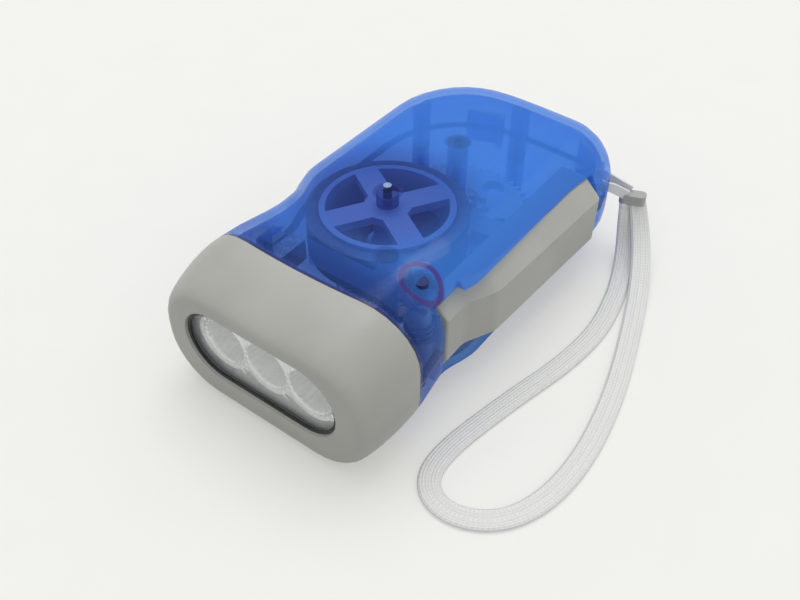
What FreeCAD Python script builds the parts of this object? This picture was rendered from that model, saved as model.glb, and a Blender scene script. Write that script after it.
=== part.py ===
"""Hand crank flashlight: squeeze lever, gear train, flywheel dynamo, three LEDs and a wrist strap.

Millimetres. +X is where the beam goes, +Y is the lever's side, +Z is up. The torch lies on z = 0.
"""
import FreeCAD, Part
import math
import os

V = FreeCAD.Vector

# Overall body
HEAD_X = 52.0
SEAM_X = 37.1
SEAM_BOW = 1.9
TAIL_X = -53.0
HEIGHT = 33.0
SPLIT_Z = 16.5
WALL = 1.8
EDGE_R = 13.0
GRIP_Y = 28.6
NECK_Y = 27.8
WAIST_Y = 25.2

# Head, lens and reflector
OPEN_HALF_L = 20.2
OPEN_HALF_H = 9.1
OPEN_Z = 16.4
LENS_X = 51.7
LENS_T = 1.4
CUP_PITCH = 11.4
CUP_MOUTH_R = 6.9
LED_R = 2.5
LED_L = 6.2

# Lever and its sector of teeth
PIVOT = (24.0, 19.6)
PIVOT_PIN_R = 1.5
LEVER_Z0 = 7.0
LEVER_Z1 = 26.6
LEVER_EDGE = 4.0
SLOT_GAP = 0.5

# Gear train: a module and tooth counts for each stage
AXLE_R = 1.0
DRIVE_BEARING = 205.3
FLY_BEARING = -3.6
SECTOR_MODULE = 1.0
TRAIN_MODULE = 0.8
SECTOR_TEETH = 91
PINION_TEETH = 9
DRIVE_TEETH = 46
FLY_TEETH = 18
PRESSURE_ANGLE = math.radians(20)
BACKLASH = 0.12
RUN_GAP = 0.05

# Flywheel and dynamo
FLY_R = 18.4
FLY_Z0 = 17.2
FLY_Z1 = 27.6
SPIDER_ARMS = 4
SPIDER_TURN = 58.0
STATOR_R = 12.8

# Battery, screws and switch
CELL_R = 7.6
CELL_L = 5.9
CELLS = 3
SCREW_R = 1.1
SWITCH_TRAVEL = 4.0

# Wrist strap
STRAP_W = 4.8
STRAP_T = 1.1
STRAP_ROUTE = [
    (-47.4, 32.9, 13.2),
    (-46.4, 34.2, 7.0),
    (-42.4, 36.6, 2.2),
    (-35.0, 39.4, 0.56),
    (-26.4, 41.8, 0.56),
    (-13.9, 43.6, 0.56),
    (0.5, 41.9, 0.56),
    (12.6, 38.7, 0.56),
    (24.7, 36.0, 0.56),
    (34.6, 34.2, 0.56),
    (41.8, 34.6, 0.56),
    (46.0, 38.2, 0.56),
    (46.8, 44.0, 0.56),
    (43.8, 50.4, 0.56),
    (38.0, 54.8, 0.56),
    (29.5, 57.2, 0.56),
    (19.0, 57.6, 0.56),
    (8.0, 56.4, 0.56),
    (-4.0, 54.0, 0.56),
    (-18.0, 50.0, 0.6),
    (-31.0, 45.8, 1.2),
    (-41.4, 41.2, 3.8),
    (-47.6, 37.0, 8.2),
    (-49.2, 34.4, 13.6),
]
LOOP_W = 2.4
LOOP_T = 0.7


def box(x0, x1, y0, y1, z0, z1):
    """Block between two corners."""
    return Part.makeBox(x1 - x0, y1 - y0, z1 - z0, V(x0, y0, z0))


def post(at, radius, z0, z1):
    """Upright round post at (x, y)."""
    return Part.makeCylinder(radius, z1 - z0, V(at[0], at[1], z0))


def tube(at, outer, inner, z0, z1):
    """Upright round tube at (x, y)."""
    return post(at, outer, z0, z1).cut(post(at, inner, z0 - 1, z1 + 1))


def flat(points):
    """Flat face through three or more corners."""
    return Part.Face(Part.makePolygon(list(points) + [points[0]]))


def closed_solid(faces):
    """Solid bounded by flat faces that meet edge to edge."""
    shell = Part.Shell(faces)
    shell.sewShape()
    solid = Part.Solid(shell)
    if solid.Volume < 0:
        solid.reverse()
    return solid


def stacked(rings):
    """Solid skinned over rings of corners, one flat panel between each pair of parallel sides."""
    faces = [flat(rings[0]), flat(rings[-1])]
    count = len(rings[0])
    for low, high in zip(rings, rings[1:]):
        for k in range(count):
            n = (k + 1) % count
            faces.append(flat([low[k], low[n], high[n], high[k]]))
    return closed_solid(faces)


def turned(profile, sides, place):
    """Many-sided solid turned from a closed profile of (along, radius); place makes each corner."""
    rings = []
    for along, radius in profile:
        if radius == 0:
            rings.append([place(along, 0.0, 0.0)])
            continue
        ring = []
        for k in range(sides):
            angle = 2 * math.pi * (k + 0.5) / sides
            ring.append(place(along, radius * math.cos(angle), radius * math.sin(angle)))
        rings.append(ring)
    faces = []
    for here, there in zip(rings, rings[1:] + rings[:1]):
        if len(here) == 1 and len(there) == 1:
            continue
        for k in range(sides):
            n = (k + 1) % sides
            corners = [here[k], here[n]] if len(here) > 1 else [here[0]]
            corners += [there[n], there[k]] if len(there) > 1 else [there[0]]
            faces.append(flat(corners))
    return closed_solid(faces)


def turned_up(at, profile, sides):
    """Many-sided solid turned about an upright line, from (height, radius)."""
    return turned(profile, sides, lambda along, u, v: V(at[0] + u, at[1] + v, along))


def turned_x(at, profile, sides):
    """Many-sided solid turned about a line along X at (y, z), from (x, radius)."""
    return turned(profile, sides, lambda along, u, v: V(along, at[0] + u, at[1] + v))


def turned_y(at, profile, sides):
    """Many-sided solid turned about a line along Y at (x, z), from (y, radius)."""
    return turned(profile, sides, lambda along, u, v: V(at[0] + u, along, at[1] + v))


def column(at, radius, z0, z1):
    """Upright many-sided post, for what the shells carry inside."""
    return turned_up(at, [(z0, 0), (z0, radius), (z1, radius), (z1, 0)], 14)


def polar(centre, radius, degrees):
    """Point at a distance and angle from (x, y)."""
    angle = math.radians(degrees)
    return (centre[0] + radius * math.cos(angle), centre[1] + radius * math.sin(angle))


DRIVE_AXLE = polar(PIVOT, SECTOR_MODULE * (SECTOR_TEETH + PINION_TEETH) / 2, DRIVE_BEARING)
FLY_AXLE = polar(DRIVE_AXLE, TRAIN_MODULE * (DRIVE_TEETH + FLY_TEETH) / 2, FLY_BEARING)


def fused(shapes):
    """One solid from touching ones."""
    whole = shapes[0].fuse(shapes[1:])
    return whole.removeSplitter()


def rounded_wire(corners, closed=True):
    """Straight runs through corners (point, radius), with a tangent arc at each radius."""
    count = len(corners)
    edges = []
    last = None
    first = None
    for i, (corner, radius) in enumerate(corners):
        ends = not closed and i in (0, count - 1)
        before = corners[i - 1][0]
        after = corners[(i + 1) % count][0]
        start = corner
        finish = corner
        arc = None
        if radius > 0 and not ends:
            back = (before - corner).normalize()
            ahead = (after - corner).normalize()
            half = back.getAngle(ahead) / 2
            reach = radius / math.tan(half)
            start = corner + back * reach
            finish = corner + ahead * reach
            middle = (back + ahead).normalize()
            top = corner + middle * (radius / math.sin(half) - radius)
            arc = Part.Arc(start, top, finish).toShape()
        if last is not None and last.distanceToPoint(start) > 1e-6:
            edges.append(Part.makeLine(last, start))
        if arc is not None:
            edges.append(arc)
        if first is None:
            first = start
        last = finish
    if closed and last.distanceToPoint(first) > 1e-6:
        edges.append(Part.makeLine(last, first))
    return Part.Wire(edges)


def rounded_points(corners, step):
    """Corners of an outline whose round stretches turn by at most step degrees from side to side."""
    points = []
    count = len(corners)
    for i, (x, y, radius) in enumerate(corners):
        here = V(x, y, 0)
        before = V(corners[i - 1][0], corners[i - 1][1], 0)
        after = V(corners[(i + 1) % count][0], corners[(i + 1) % count][1], 0)
        if radius == 0:
            points.append(here)
            continue
        back = (before - here).normalize()
        ahead = (after - here).normalize()
        half = back.getAngle(ahead) / 2
        start = here + back * (radius / math.tan(half))
        centre = here + (back + ahead).normalize() * (radius / math.sin(half))
        turn = math.pi - 2 * half
        sides = max(1, math.ceil(math.degrees(turn) / step))
        if back.cross(ahead).z > 0:
            turn = -turn
        for k in range(sides + 1):
            angle = turn * k / sides
            arm = start - centre
            x_turned = arm.x * math.cos(angle) - arm.y * math.sin(angle)
            y_turned = arm.x * math.sin(angle) + arm.y * math.cos(angle)
            points.append(centre + V(x_turned, y_turned, 0))
    return points


def drawn_in(points, inset, z):
    """A clockwise or counter-clockwise outline moved inwards, its sides kept parallel, at a height."""
    area = sum(a.x * b.y - b.x * a.y for a, b in zip(points, points[1:] + points[:1]))
    sign = 1 if area > 0 else -1
    moved = []
    for i, here in enumerate(points):
        before = (here - points[i - 1]).normalize()
        after = (points[(i + 1) % len(points)] - here).normalize()
        first = V(-before.y, before.x, 0) * sign
        second = V(-after.y, after.x, 0) * sign
        step = (first + second) * (inset / (1 + first.dot(second)))
        moved.append(V(here.x + step.x, here.y + step.y, z))
    return moved


def plan_wire(corners, z=0.0):
    """Closed outline seen from above, from corners (x, y, radius)."""
    return rounded_wire([(V(x, y, z), r) for x, y, r in corners])


def prism(wire, height):
    """Solid from a closed flat wire, drawn upwards."""
    return Part.Face(wire).extrude(V(0, 0, height))


def body_outline():
    """Plan of the whole body: neck, finger waist, grip and a fuller tail corner over the lever's end."""
    return rounded_points([
        (60.0, NECK_Y, 0),
        (34.0, NECK_Y, 25),
        (22.5, WAIST_Y + 0.8, 14),
        (14.5, GRIP_Y, 15),
        (-26.0, GRIP_Y, 20),
        (-35.0, 30.0, 15),
        (TAIL_X + 1.4, 29.4, 15.2),
        (TAIL_X - 0.4, 2.0, 90),
        (TAIL_X, -GRIP_Y, 25),
        (6.0, -GRIP_Y, 14),
        (13.0, -WAIST_Y - 0.5, 8),
        (20.0, -WAIST_Y, 24),
        (33.0, -NECK_Y, 30),
        (60.0, -NECK_Y, 0),
    ], 12)


ROUND_SIDES = 7


def body_form(inset):
    """The body's outer form, or the same form shrunk by a wall, its edges rounded in flat strips."""
    outline = body_outline()
    radius = EDGE_R - inset
    rings = []
    for k in range(ROUND_SIDES + 1):
        angle = math.pi / 2 * k / ROUND_SIDES
        rings.append(drawn_in(outline, inset + radius * (1 - math.sin(angle)), EDGE_R - radius * math.cos(angle)))
    for k in range(ROUND_SIDES + 1):
        angle = math.pi / 2 * k / ROUND_SIDES
        z = HEIGHT - EDGE_R + radius * math.sin(angle)
        rings.append(drawn_in(outline, inset + radius * (1 - math.cos(angle)), z))
    return stacked(rings)


def behind_seam(shift=0.0):
    """Everything behind the bowed joint between the shells and the head."""
    radius = NECK_Y ** 2 / (2 * SEAM_BOW)
    centre = SEAM_X + shift - radius
    return Part.makeCylinder(radius, HEIGHT + 20, V(centre, 0, -10))


def section_points(x, half_width, z0, z1, radius):
    """Rounded rectangle across the body."""
    corners = [
        (half_width, z0, radius),
        (half_width, z1, radius),
        (-half_width, z1, radius),
        (-half_width, z0, radius),
    ]
    return [V(x, p.x, p.y) for p in rounded_points(corners, 90 / ROUND_SIDES)]


def section_plate(x0, x1, half_width, z0, z1, radius):
    """Rounded rectangle drawn along the beam."""
    sides = half_width, z0, z1, radius
    return stacked([section_points(x0, *sides), section_points(x1, *sides)])


def stadium_points(x, half_l, half_h):
    """Long round-ended outline across the beam."""
    points = []
    for side in (1, -1):
        for k in range(STADIUM_SIDES + 1):
            angle = math.pi * (k / STADIUM_SIDES - 0.5)
            y = side * (half_l - half_h + half_h * math.cos(angle))
            points.append(V(x, y, OPEN_Z + side * half_h * math.sin(angle)))
    return points


def stadium(x0, x1, half_l, half_h):
    """Long round-ended plate along the beam."""
    return stacked([stadium_points(x0, half_l, half_h), stadium_points(x1, half_l, half_h)])


STADIUM_SIDES = 14
NOSE_X = 38.0
NOSE_R = 2.6


def head_section(x, inset):
    """Head outline at one place: it narrows towards the front and rounds over at the rim."""
    run = max(0.0, x - NOSE_X)
    into = max(0.0, x - (HEAD_X - NOSE_R))
    rim = NOSE_R - math.sqrt(max(0.0, NOSE_R ** 2 - into ** 2))
    half = NECK_Y - 0.0077 * run ** 2 - 0.73 * rim - inset
    z0 = 0.0046 * run ** 2 + 0.62 * rim + inset
    z1 = HEIGHT - 0.132 * run - 0.0138 * run ** 2 - 0.56 * rim - inset
    radius = EDGE_R - 0.05 * run - 0.6 * rim - inset
    return section_points(x, half, z0, z1, radius)


def head_form(inset):
    """Head outside, or its hollow, skinned over its outlines."""
    places = [30.0, NOSE_X, 40.5, 43.0, 45.5, 47.7, HEAD_X - NOSE_R, 50.6, 51.3, 51.75, HEAD_X]
    return stacked([head_section(x, inset) for x in places])


def head_bezel():
    """Grey head: hollow cap whose front opening narrows to a lip in front of the lens."""
    shell = head_form(0.0)
    hollow = head_form(2.0).common(box(0, LENS_X - 0.3, -40, 40, -5, 45))
    mouth = stacked([
        stadium_points(LENS_X - 0.5, OPEN_HALF_L - 0.3, OPEN_HALF_H - 0.3),
        stadium_points(HEAD_X + 0.2, OPEN_HALF_L, OPEN_HALF_H),
    ])
    return shell.cut([hollow, behind_seam(0.15), mouth])


def lens():
    """Clear window behind the lip."""
    return stadium(LENS_X - 0.8 - LENS_T, LENS_X - 0.8, OPEN_HALF_L + 0.6, OPEN_HALF_H + 0.6)


def lens_seal():
    """Black ring between lip and window."""
    outer = stadium(LENS_X - 0.8, LENS_X - 0.3, OPEN_HALF_L + 0.5, OPEN_HALF_H + 0.5)
    return outer.cut(stadium(LENS_X - 2, LENS_X + 1, OPEN_HALF_L - 0.9, OPEN_HALF_H - 0.9))


REFLECTOR_BACK = 41.2
REFLECTOR_FRONT = LENS_X - 0.8 - LENS_T


def cup_places():
    """Height and side of each light cup."""
    return [(-CUP_PITCH, OPEN_Z), (0.0, OPEN_Z), (CUP_PITCH, OPEN_Z)]


def cup_radius(x):
    """Parabola from the LED hole to the mouth of a cup."""
    share = (x - REFLECTOR_BACK) / (REFLECTOR_FRONT - REFLECTOR_BACK)
    return LED_R + 0.25 + (CUP_MOUTH_R - LED_R - 0.25) * math.sqrt(max(share, 0.0))


def reflector():
    """Plated block with three parabolic cups that run into each other."""
    flange = stadium(REFLECTOR_FRONT - 1.2, REFLECTOR_FRONT, OPEN_HALF_L + 0.6, OPEN_HALF_H + 0.6)
    block = stadium(REFLECTOR_BACK, REFLECTOR_FRONT, OPEN_HALF_L - 0.6, OPEN_HALF_H - 0.6)
    whole = fused([block, flange])
    depth = REFLECTOR_FRONT - REFLECTOR_BACK
    steps = [REFLECTOR_BACK + depth * (i / CUP_STEPS) ** 2 for i in range(CUP_STEPS + 1)]
    cups = []
    for at in cup_places():
        profile = [(REFLECTOR_BACK - 1, 0.0), (REFLECTOR_BACK - 1, cup_radius(REFLECTOR_BACK))]
        profile += [(x, cup_radius(x)) for x in steps]
        profile += [(REFLECTOR_FRONT + 1, CUP_MOUTH_R), (REFLECTOR_FRONT + 1, 0.0)]
        cups.append(turned_x(at, profile, CUP_SIDES))
    return whole.cut(cups)


CUP_STEPS = 5
CUP_SIDES = 28
BOARD_X0 = 36.9
BOARD_X1 = 38.1


def led(at):
    """Round LED with its collar and dome."""
    collar_r = LED_R + 0.4
    tip = BOARD_X1 + LED_L
    profile = [(BOARD_X1, 0.0), (BOARD_X1, collar_r), (BOARD_X1 + 1.0, collar_r), (BOARD_X1 + 1.0, LED_R)]
    for k in range(4):
        angle = math.pi / 8 * k
        profile.append((tip + LED_R * math.sin(angle), LED_R * math.cos(angle)))
    profile.append((tip + LED_R, 0.0))
    return turned_x(at, profile, 14)


def led_board():
    """Circuit board across the head."""
    return section_plate(BOARD_X0, BOARD_X1, 20.0, 9.5, 23.5, 2.0)


SCREW_POSTS = [(-43.9, 2.2), (-33.4, -20.8), (30.6, -17.0), (21.6, 9.6)]
SCREW_POST_R = 2.3
STRAP_POST = (-42.0, 22.3)
STRAP_POST_R = 2.4
LOOP_BEARING = 128.0
SLOT_X0 = -33.6
SLOT_X1 = 25.2
SWITCH_X = 22.6
LOCK_AT = (-36.0, 17.0)


def lever_slot():
    """Side opening that the lever folds into, with a higher notch over its pivot."""
    slot = box(SLOT_X0, SLOT_X1, 20.0, 45.0, LEVER_Z0 - SLOT_GAP, LEVER_Z1 + SLOT_GAP)
    notch = box(17.0, SLOT_X1, 23.8, 45.0, 20.0, 28.8)
    return slot.fuse(notch)


def switch_slot():
    """Window for the switch knob in the left waist."""
    half = 3.2 + SWITCH_TRAVEL / 2 + 0.3
    return box(SWITCH_X - half, SWITCH_X + half, -32.0, -20.0, SPLIT_Z - 3.2, SPLIT_Z + 3.2)


def strap_slot():
    """Window in the tail corner that the strap's loop comes out of."""
    hole = box(2.8, 14.0, -4.0, 4.0, 15.6, 21.0)
    hole.rotate(V(0, 0, 0), V(0, 0, 1), LOOP_BEARING)
    hole.translate(V(STRAP_POST[0], STRAP_POST[1], 0))
    return hole


def spigot():
    """Collar that the head slides over, rooted in the skin behind the seam."""
    root = section_plate(32.5, 35.0, NECK_Y - 1.6, 1.6, HEIGHT - 1.6, EDGE_R - 1.6)
    ring = section_plate(33.0, 39.0, NECK_Y - 2.5, 2.5, HEIGHT - 2.5, EDGE_R - 2.5)
    hole = section_plate(30.0, 41.0, NECK_Y - 3.6, 3.6, HEIGHT - 3.6, EDGE_R - 3.6)
    return root.fuse(ring).cut(hole)


def half_shell(z0, z1, columns, holes):
    """One of the two see-through shells, with what stands on its inside."""
    outer = body_form(0.0).common(behind_seam())
    skin = outer.cut(body_form(WALL)).fuse(spigot())
    skin = skin.common(box(-70, 60, -50, 50, z0, z1))
    skin = skin.cut([lever_slot(), switch_slot(), strap_slot()])
    inside = Part.makeCompound(columns).common(outer)
    return skin.fuse(inside.Solids).cut(holes).removeSplitter()


def upper_shell():
    """Upper shell with its axle bosses, screw posts and two stiffening ribs."""
    under = HEIGHT - 0.6
    pin_top = HEIGHT - 1.4
    columns = [
        column(PIVOT, 4.0, LEVER_Z1 + SLOT_GAP, under),
        column(FLY_AXLE, 2.6, FLY_Z1 + 0.5, under),
        column(DRIVE_AXLE, 2.5, 16.4, under),
        column(STRAP_POST, STRAP_POST_R, SPLIT_Z, under),
        box(25.6, 26.7, -7.5, 10.0, 24.0, under),
        tail_rib(23.0, under),
    ]
    holes = [
        post(PIVOT, PIVOT_PIN_R, 20, pin_top),
        post(FLY_AXLE, AXLE_R, 20, pin_top),
        post(DRIVE_AXLE, AXLE_R, 10, pin_top),
    ]
    for at in SCREW_POSTS:
        columns.append(column(at, SCREW_POST_R, SPLIT_Z, under))
        holes.append(column(at, SCREW_R, SPLIT_Z - 1, 24.0))
    return half_shell(SPLIT_Z, HEIGHT, columns, holes)


def tail_rib(z0, z1):
    """Slanted stiffening rib with a turned end, in the tail."""
    rib = box(-4.6, 4.6, -0.5, 0.5, z0, z1)
    hook = box(3.6, 4.6, -2.4, 0.5, z0, z1)
    rib = rib.fuse(hook)
    rib.rotate(V(0, 0, 0), V(0, 0, 1), 109)
    rib.translate(V(-36.3, -3.4, 0))
    return rib


def lower_shell():
    """Lower shell with bearing seats, counterbored screw posts and the lock's window."""
    floor = 0.6
    x, y = LOCK_AT
    columns = [
        column(PIVOT, 4.0, floor, LEVER_Z0 - SLOT_GAP),
        column(FLY_AXLE, 2.2, floor, 2.3),
        column(DRIVE_AXLE, 3.0, floor, 9.3),
        column(STRAP_POST, STRAP_POST_R, floor, SPLIT_Z),
        box(18.6, 19.6, -12.0, 4.0, floor, 6.5),
        box(36.0, 36.6, -12.0, 12.0, floor, 12.0),
    ]
    holes = [
        post(PIVOT, PIVOT_PIN_R, 1.4, 12),
        post(FLY_AXLE, AXLE_R, 1.0, 12),
        post(DRIVE_AXLE, AXLE_R, 1.4, 12),
        box(x - 5.4, x + 5.4, y - 2.6, y + 2.6, -1, 2.4),
    ]
    for at in SCREW_POSTS:
        columns.append(column(at, SCREW_POST_R, floor, SPLIT_Z))
        holes.append(column(at, SCREW_R, 1.0, SPLIT_Z + 1))
        holes.append(column(at, 2.25, -1, 5.0))
    return half_shell(0.0, SPLIT_Z, columns, holes)


def lever_ring(inset, drop, inner_y, z):
    """Plan of the lever at one height: full at the tail, kinked in at the finger waist."""
    rear = SLOT_X0 + SLOT_GAP + inset
    front = SLOT_X1 - SLOT_GAP - 2.1 - inset
    lower = inset + drop
    front_y = 25.5 - lower
    outline = [
        (rear, inner_y, 0),
        (rear, 31.2 - lower, 1.6),
        (9.0 + inset / 2, 28.9 - lower, 6),
        (16.0 + inset / 2, 25.4 - lower, 5),
        (front, front_y, 0.8),
        (front + LEVER_SLANT * (front_y - inner_y), inner_y, 0),
    ]
    return [V(p.x, p.y, z) for p in rounded_points(outline, 15)]


LEVER_SLANT = 0.38


def lever_form(inset, inner_y):
    """The lever's outer form with sloped upper and lower faces, or the same form shrunk by a wall."""
    low = LEVER_Z0 + LEVER_EDGE
    high = LEVER_Z1 - LEVER_EDGE
    drop = LEVER_EDGE - inset
    return stacked([
        lever_ring(inset, drop, inner_y, LEVER_Z0 + inset),
        lever_ring(inset, 0, inner_y, low),
        lever_ring(inset, 0, inner_y, high),
        lever_ring(inset, drop, inner_y, LEVER_Z1 - inset),
    ])


def gear_face(teeth, module, addendum, dedendum, thickness, first, last):
    """Points of involute teeth, counted from first to last, round the origin."""
    pitch_r = module * teeth / 2
    base_r = pitch_r * math.cos(PRESSURE_ANGLE)
    root_r = pitch_r - dedendum
    tip_r = pitch_r + addendum
    half_tooth = thickness / (2 * pitch_r)
    lift = math.tan(PRESSURE_ANGLE) - PRESSURE_ANGLE
    low_r = max(root_r, base_r)
    steps = 2 if teeth < 30 else 1
    radii = [low_r + (tip_r - low_r) * k / steps for k in range(steps + 1)]
    points = []
    for tooth in range(first, last):
        middle = 2 * math.pi * tooth / teeth
        flank = []
        for r in radii:
            angle = math.acos(min(1.0, base_r / r))
            flank.append((r, half_tooth + lift - (math.tan(angle) - angle)))
        if root_r < low_r:
            flank.insert(0, (root_r, flank[0][1]))
        for r, half in flank:
            points.append(V(r * math.cos(middle - half), r * math.sin(middle - half), 0))
        for r, half in reversed(flank):
            points.append(V(r * math.cos(middle + half), r * math.sin(middle + half), 0))
    return points


def gear(at, teeth, module, z0, z1, turn, addendum, dedendum):
    """Whole spur gear at (x, y) with one tooth's middle at the angle turn."""
    thickness = math.pi * module / 2 - BACKLASH
    points = gear_face(teeth, module, addendum, dedendum, thickness, 0, teeth)
    solid = prism(Part.makePolygon(points + [points[0]]), z1 - z0)
    solid.rotate(V(0, 0, 0), V(0, 0, 1), turn)
    solid.translate(V(at[0], at[1], z0))
    return solid


def bearing(a, b):
    """Angle in degrees of the line from a to b."""
    return math.degrees(math.atan2(b[1] - a[1], b[0] - a[0]))


SECTOR_Z0 = 12.7
SECTOR_Z1 = 15.7
SECTOR_FIRST = -2
SECTOR_LAST = 7
HUB_R = 3.2
SPINDLE_R = 2.5


def sector_teeth():
    """Toothed arc on the lever, with its arm and hub; a tooth faces the pinion at rest."""
    radius = SECTOR_MODULE * SECTOR_TEETH / 2
    thickness = math.pi * SECTOR_MODULE / 2 - BACKLASH
    points = gear_face(SECTOR_TEETH, SECTOR_MODULE, 0.75, 1.2, thickness, SECTOR_FIRST, SECTOR_LAST)
    step = 360.0 / SECTOR_TEETH
    inner_r = radius - 6.4
    low = (SECTOR_FIRST - 0.5) * step
    high = (SECTOR_LAST - 0.5) * step
    start = V(inner_r * math.cos(math.radians(low)), inner_r * math.sin(math.radians(low)), 0)
    end = V(inner_r * math.cos(math.radians(high)), inner_r * math.sin(math.radians(high)), 0)
    middle_angle = math.radians((low + high) / 2)
    middle = V(inner_r * math.cos(middle_angle), inner_r * math.sin(middle_angle), 0)
    edges = [Part.makePolygon([start] + points + [end]), Part.Arc(end, middle, start).toShape()]
    rack = Part.Face(Part.Wire(Part.__sortEdges__([e for s in edges for e in s.Edges])))
    rack = rack.extrude(V(0, 0, SECTOR_Z1 - SECTOR_Z0))
    rack.rotate(V(0, 0, 0), V(0, 0, 1), bearing(PIVOT, DRIVE_AXLE))
    rack.translate(V(PIVOT[0], PIVOT[1], SECTOR_Z0))
    return rack


def lever():
    """Grey squeeze lever: handle, hub, arm and toothed sector in one moulding."""
    handle = lever_form(0.0, 20.0)
    hollow = lever_form(1.9, 15.0)
    to_gear = bearing(PIVOT, DRIVE_AXLE)
    radius = SECTOR_MODULE * SECTOR_TEETH / 2
    web = [
        polar(PIVOT, 3.0, to_gear - 90),
        polar(PIVOT, 3.0, to_gear + 60),
        polar(PIVOT, radius - 3.2, to_gear - 4),
        polar(PIVOT, radius - 1.6, to_gear - 9.5),
        (-20.4, 27.0),
        (16.0, 24.0),
    ]
    points = [V(x, y, SECTOR_Z0) for x, y in web]
    arm = Part.Face(Part.makePolygon(points + [points[0]])).extrude(V(0, 0, SECTOR_Z1 - SECTOR_Z0))
    window = [
        polar(PIVOT, 14.0, to_gear - 12),
        polar(PIVOT, radius - 8.0, to_gear - 9),
        polar(PIVOT, radius - 8.0, to_gear - 22),
        polar(PIVOT, 16.0, to_gear - 25),
    ]
    points = [V(x, y, SECTOR_Z0 - 1) for x, y in window]
    arm = arm.cut(Part.Face(Part.makePolygon(points + [points[0]])).extrude(V(0, 0, 6)))
    foot = post(PIVOT, SPINDLE_R, LEVER_Z0 + 0.2, LEVER_Z0 + 2.0)
    hub = post(PIVOT, HUB_R, LEVER_Z0 + 1.8, SECTOR_Z1 + 0.5)
    spindle = post(PIVOT, SPINDLE_R, SECTOR_Z1, LEVER_Z1 - 0.2)
    neck = box(18.0, 22.4, 19.6, 24.0, LEVER_Z0 + 1.0, SECTOR_Z1)
    rim = sector_teeth()
    whole = fused([handle.cut(hollow), arm, foot, hub, spindle, neck, rim])
    whole = whole.cut(box(-34.0, -29.4, 21.2, 23.2, 2.0, LEVER_Z0 + 2.4))
    whole = whole.cut(tube(PIVOT, SPINDLE_R + 1.8, SPINDLE_R, SECTOR_Z1 + 0.5, LEVER_Z1 - 3.0))
    return whole.cut(post(PIVOT, PIVOT_PIN_R + RUN_GAP, 0, 40))


def lever_spring():
    """Torsion spring round the lever's spindle, as a many-sided coil of square wire."""
    wire = 0.6
    turns = 3
    sides = 12
    pitch = 1.6
    z0 = SECTOR_Z1 + 1.4
    inner = SPINDLE_R + 0.35
    rings = []
    for k in range(turns * sides + 1):
        z = z0 + pitch * k / sides
        angle = 360.0 * k / sides
        near = polar(PIVOT, inner, angle)
        far = polar(PIVOT, inner + wire, angle)
        rings.append([V(*near, z), V(*far, z), V(*far, z + wire), V(*near, z + wire)])
    faces = [flat(rings[0]), flat(rings[-1])]
    for low, high in zip(rings, rings[1:]):
        for k in range(4):
            n = (k + 1) % 4
            faces.append(flat([low[k], low[n], high[n]]))
            faces.append(flat([low[k], high[n], high[k]]))
    return closed_solid(faces)


def drive_gear():
    """Large gear with a ratchet ring sunk into its upper face."""
    z0 = 9.6
    z1 = 12.1
    turn = bearing(DRIVE_AXLE, FLY_AXLE)
    disc = gear(DRIVE_AXLE, DRIVE_TEETH, TRAIN_MODULE, z0, z1, turn, 0.72, 0.95)
    notches = 12
    points = []
    for k in range(notches):
        points.append(V(*polar(DRIVE_AXLE, 9.0, 360.0 * k / notches), z0 + 0.9))
        points.append(V(*polar(DRIVE_AXLE, 7.9, 360.0 * (k + 0.12) / notches), z0 + 0.9))
    recess = Part.Face(Part.makePolygon(points + [points[0]])).extrude(V(0, 0, 5))
    disc = disc.cut(recess)
    holes = [column(polar(DRIVE_AXLE, 13.2, 72 * k + 20), 2.9, 0, 20) for k in range(5)]
    return disc.cut(holes + [post(DRIVE_AXLE, AXLE_R + RUN_GAP, 0, 40)])


def clutch_pinion():
    """Small gear under the sector, with two ratchet pawls beneath it."""
    turn = bearing(DRIVE_AXLE, PIVOT) + 180.0 / PINION_TEETH
    teeth = gear(DRIVE_AXLE, PINION_TEETH, SECTOR_MODULE, 12.4, 16.0, turn, 0.95, 1.0)
    disc = post(DRIVE_AXLE, 5.6, 10.8, 12.4)
    pawls = []
    for side in (0, 180):
        arm = box(-5.0, 3.2, 4.4, 5.6, 10.8, 12.0)
        tip = box(2.0, 3.2, 4.4, 6.9, 10.8, 12.0)
        pawl = arm.fuse(tip)
        pawl.rotate(V(0, 0, 0), V(0, 0, 1), side)
        pawl.translate(V(DRIVE_AXLE[0], DRIVE_AXLE[1], 0))
        pawls.append(pawl)
    whole = fused([teeth, disc] + pawls)
    return whole.cut(post(DRIVE_AXLE, AXLE_R + RUN_GAP, 0, 40))


FLY_SIDES = 40
COIL_SIDES = 28


def ring_tube(at, outer, inner, z0, z1):
    """Upright many-sided tube at (x, y)."""
    sides = FLY_SIDES if outer > STATOR_R else COIL_SIDES
    return turned_up(at, [(z0, inner), (z0, outer), (z1, outer), (z1, inner)], sides)


def flywheel_spider():
    """Flywheel hub with broad arms, a sleeve and the driven pinion in one moulding."""
    rim_r = FLY_R - 3.0
    top = FLY_Z1 - 2.0
    plate = turned_up(FLY_AXLE, [(top, 0), (top, rim_r), (FLY_Z1, rim_r), (FLY_Z1, 0)], FLY_SIDES)
    step = 360.0 / SPIDER_ARMS
    for k in range(SPIDER_ARMS):
        plate = plate.cut(spider_window(SPIDER_TURN + step * (k + 0.5)))
    rim = ring_tube(FLY_AXLE, rim_r, rim_r - 1.4, FLY_Z0 + 1.0, FLY_Z1)
    hub = column(FLY_AXLE, 3.4, 12.6, FLY_Z1)
    teeth_turn = bearing(FLY_AXLE, DRIVE_AXLE) + 180.0 / FLY_TEETH
    teeth = gear(FLY_AXLE, FLY_TEETH, TRAIN_MODULE, 9.5, 12.6, teeth_turn, 0.72, 0.95)
    whole = fused([plate, rim, hub, teeth])
    return whole.cut(post(FLY_AXLE, AXLE_R + RUN_GAP, 0, 40))


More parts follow.
